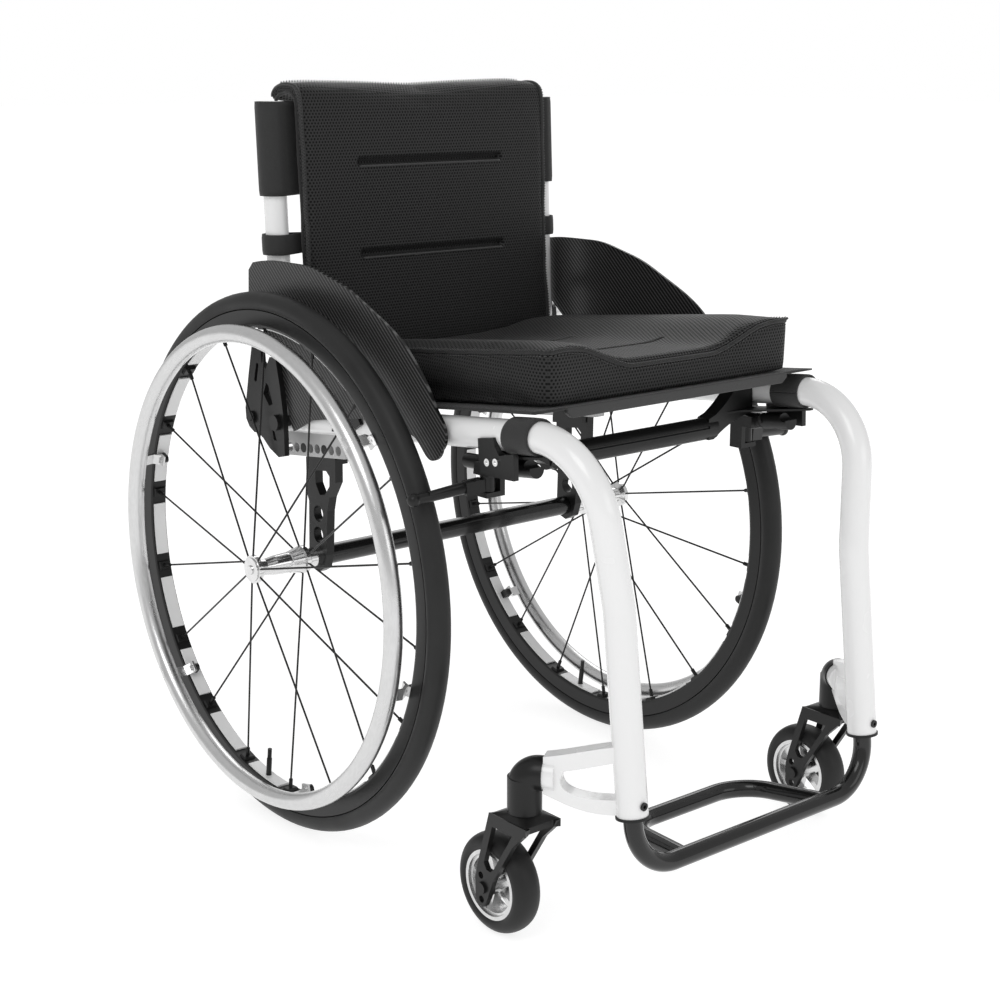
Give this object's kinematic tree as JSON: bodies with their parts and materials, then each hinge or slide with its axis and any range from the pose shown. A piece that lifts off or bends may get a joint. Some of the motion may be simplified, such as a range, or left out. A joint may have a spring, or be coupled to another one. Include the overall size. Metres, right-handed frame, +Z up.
{
  "type": "manual wheelchair",
  "caption": "Rigid-frame active manual wheelchair with spoked rear wheels, handrims, swivel castors, side guards, low backrest, contoured seat cushion and a tubular footrest hoop",
  "frame": {"origin": "on the floor, in the middle of the overall width and length", "axes": "+Z up, +X toward the sitter's left, the sitter faces -Y, rear axle parallel to X"},
  "size_m": [0.5614, 0.7922, 0.803],
  "materials": {
    "white_paint": "gloss white powder coat",
    "black_paint": "satin black anodised or powder coated",
    "black_steel": "black oxide screws",
    "black_plastic": "moulded black plastic",
    "bright_steel": "polished and turned metal",
    "satin_aluminium": "satin anodised tube",
    "grey_anodised": "bead-blasted light grey",
    "tyre_rubber": "smooth black rubber",
    "white_plastic": "white inlay",
    "carbon_laminate": "twill carbon laminate",
    "black_mesh": "black spacer mesh",
    "black_fabric": "dark woven upholstery"
  },
  "bodies": {
    "frame": {"axle_pin_left": "bright_steel", "axle_pin_right": "bright_steel", "axle_plate_left": "black_paint", "axle_plate_right": "black_paint", "axle_tube": "black_paint", "back_hinge_left": "black_paint", "back_hinge_right": "black_paint", "brake_clamp_left": "black_paint", "brake_clamp_right": "black_paint", "brake_screws": "bright_steel", "castor_arm_left": "white_paint", "castor_arm_right": "white_paint", "castor_elbow_left": "black_paint", "castor_elbow_right": "black_paint", "crossbar": "black_paint", "footrest_collars": "black_plastic", "footrest_screws": "black_steel", "frame_tube_left": "white_paint", "frame_tube_right": "white_paint", "guard_bracket_left": "black_paint", "guard_bracket_right": "black_paint", "hanger_bar_left": "grey_anodised", "hanger_bar_right": "grey_anodised", "hanger_bolts": "black_steel", "seat_cushion": "black_mesh", "seat_sling": "black_fabric", "side_guard_left": "carbon_laminate", "side_guard_right": "carbon_laminate"},
    "backrest": {"back_arm_left": "black_paint", "back_arm_right": "black_paint", "back_bar": "black_paint", "back_cushion": "black_mesh", "back_tube_left": "white_paint", "back_tube_right": "white_paint", "back_upholstery": "black_fabric"},
    "footrest": {"footrest": "black_paint"},
    "wheel_left": {"tyre_left": "tyre_rubber", "rim_left": "black_paint", "rim_inserts_left": "white_plastic", "spokes_left": "black_paint", "hub_left": "bright_steel", "handrim_left": "satin_aluminium"},
    "button_left": {"release_button_left": "bright_steel"},
    "fork_left": {"castor_fork_left": "black_paint"},
    "castor_left": {"castor_tyre_left": "tyre_rubber", "castor_hub_left": "bright_steel"},
    "lever_left": {"brake_handle_left": "black_paint"},
    "shoe_left": {"brake_shoe_left": "black_paint"},
    "wheel_right": {"tyre_right": "tyre_rubber", "rim_right": "black_paint", "rim_inserts_right": "white_plastic", "spokes_right": "black_paint", "hub_right": "bright_steel", "handrim_right": "satin_aluminium"},
    "button_right": {"release_button_right": "bright_steel"},
    "fork_right": {"castor_fork_right": "black_paint"},
    "castor_right": {"castor_tyre_right": "tyre_rubber", "castor_hub_right": "bright_steel"},
    "lever_right": {"brake_handle_right": "black_paint"},
    "shoe_right": {"brake_shoe_right": "black_paint"}
  },
  "joints": [
    {"name": "wheel_spin_left", "type": "hinge", "parent": "frame", "child": "wheel_left", "pos_m": [0.2382, 0.1006, 0.295], "axis": [1, 0, 0], "continuous": true},
    {"name": "button_press_left", "type": "slide", "parent": "frame", "child": "button_left", "axis": [-1, 0, 0], "range_m": [0, 0.0014], "stiffness_N_per_m": 900},
    {"name": "castor_swivel_left", "type": "hinge", "parent": "frame", "child": "fork_left", "pos_m": [0.2244, -0.2944, 0.137], "axis": [0, 0, 1], "continuous": true},
    {"name": "castor_spin_left", "type": "hinge", "parent": "fork_left", "child": "castor_left", "pos_m": [0.2244, -0.2574, 0.0506], "axis": [1, 0, 0], "continuous": true},
    {"name": "brake_lever_left", "type": "hinge", "parent": "frame", "child": "lever_left", "pos_m": [0.178, -0.2214, 0.45], "axis": [1, 0, 0], "range_deg": [0, 70]},
    {"name": "brake_shoe_left", "type": "hinge", "parent": "frame", "child": "shoe_left", "pos_m": [0.182, -0.1884, 0.43], "axis": [0, 0, 1], "range_deg": [0, 5]},
    {"name": "wheel_spin_right", "type": "hinge", "parent": "frame", "child": "wheel_right", "pos_m": [-0.2382, 0.1006, 0.295], "axis": [1, 0, 0], "continuous": true},
    {"name": "button_press_right", "type": "slide", "parent": "frame", "child": "button_right", "axis": [1, 0, 0], "range_m": [0, 0.0014], "stiffness_N_per_m": 900},
    {"name": "castor_swivel_right", "type": "hinge", "parent": "frame", "child": "fork_right", "pos_m": [-0.2244, -0.2944, 0.137], "axis": [0, 0, 1], "continuous": true},
    {"name": "castor_spin_right", "type": "hinge", "parent": "fork_right", "child": "castor_right", "pos_m": [-0.2244, -0.2574, 0.0506], "axis": [1, 0, 0], "continuous": true},
    {"name": "brake_lever_right", "type": "hinge", "parent": "frame", "child": "lever_right", "pos_m": [-0.178, -0.2214, 0.45], "axis": [1, 0, 0], "range_deg": [0, 70]},
    {"name": "brake_shoe_right", "type": "hinge", "parent": "frame", "child": "shoe_right", "pos_m": [-0.182, -0.1884, 0.43], "axis": [0, 0, -1], "range_deg": [0, 5]},
    {"name": "backrest_fold", "type": "hinge", "parent": "frame", "child": "backrest", "pos_m": [0, 0.1806, 0.4425], "axis": [1, 0, 0], "range_deg": [0, 5]},
    {"name": "footrest_height", "type": "slide", "parent": "frame", "child": "footrest", "axis": [0, -0.1151, -0.9934], "range_m": [0, 0.045]}
  ],
  "couplings": [
    {"joint": "brake_shoe_left", "follows": "brake_lever_left", "ratio": 0.0714},
    {"joint": "brake_shoe_right", "follows": "brake_lever_right", "ratio": 0.0714}
  ]
}
